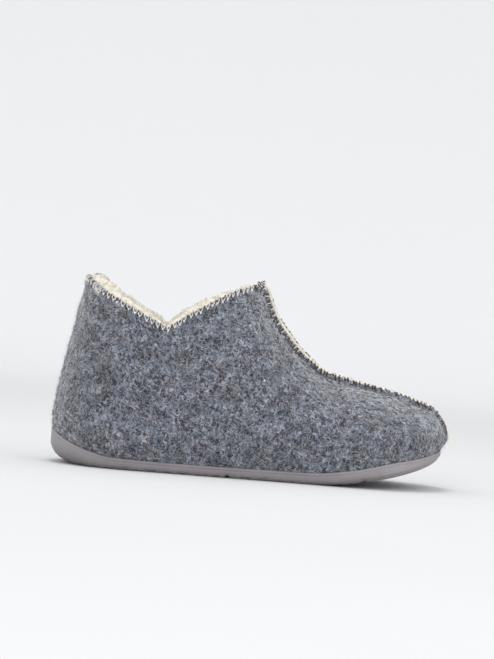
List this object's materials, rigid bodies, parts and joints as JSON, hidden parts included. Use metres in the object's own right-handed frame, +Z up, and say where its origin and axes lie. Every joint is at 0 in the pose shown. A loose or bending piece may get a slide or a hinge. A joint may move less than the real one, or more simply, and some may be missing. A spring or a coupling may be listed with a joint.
{
  "type": "house slipper",
  "caption": "Ankle-high wool-felt house slipper with a notched collar, raised front seam, fleece lining and a low moulded cup sole; left shoe.",
  "frame": {"origin": "on the floor under the middle of the slipper's bounding box", "axes": "+X towards the toe, +Z up, -Y towards the medial (inner) side of this left shoe"},
  "size_m": [0.26, 0.1119, 0.1252],
  "materials": {
    "felt": "grey melange wool felt, matt and slightly hairy",
    "fleece": "cream wool pile, matt",
    "seam_fleece": "cream wool edge between the felt flanges, matt",
    "insole_fleece": "cream wool pile, matt",
    "sole_rubber": "taupe grey, satin"
  },
  "bodies": {
    "root": {"upper": "felt", "lining": "fleece", "front_seam_strip": "seam_fleece", "insole": "insole_fleece", "outsole": "sole_rubber"}
  },
  "joints": []
}
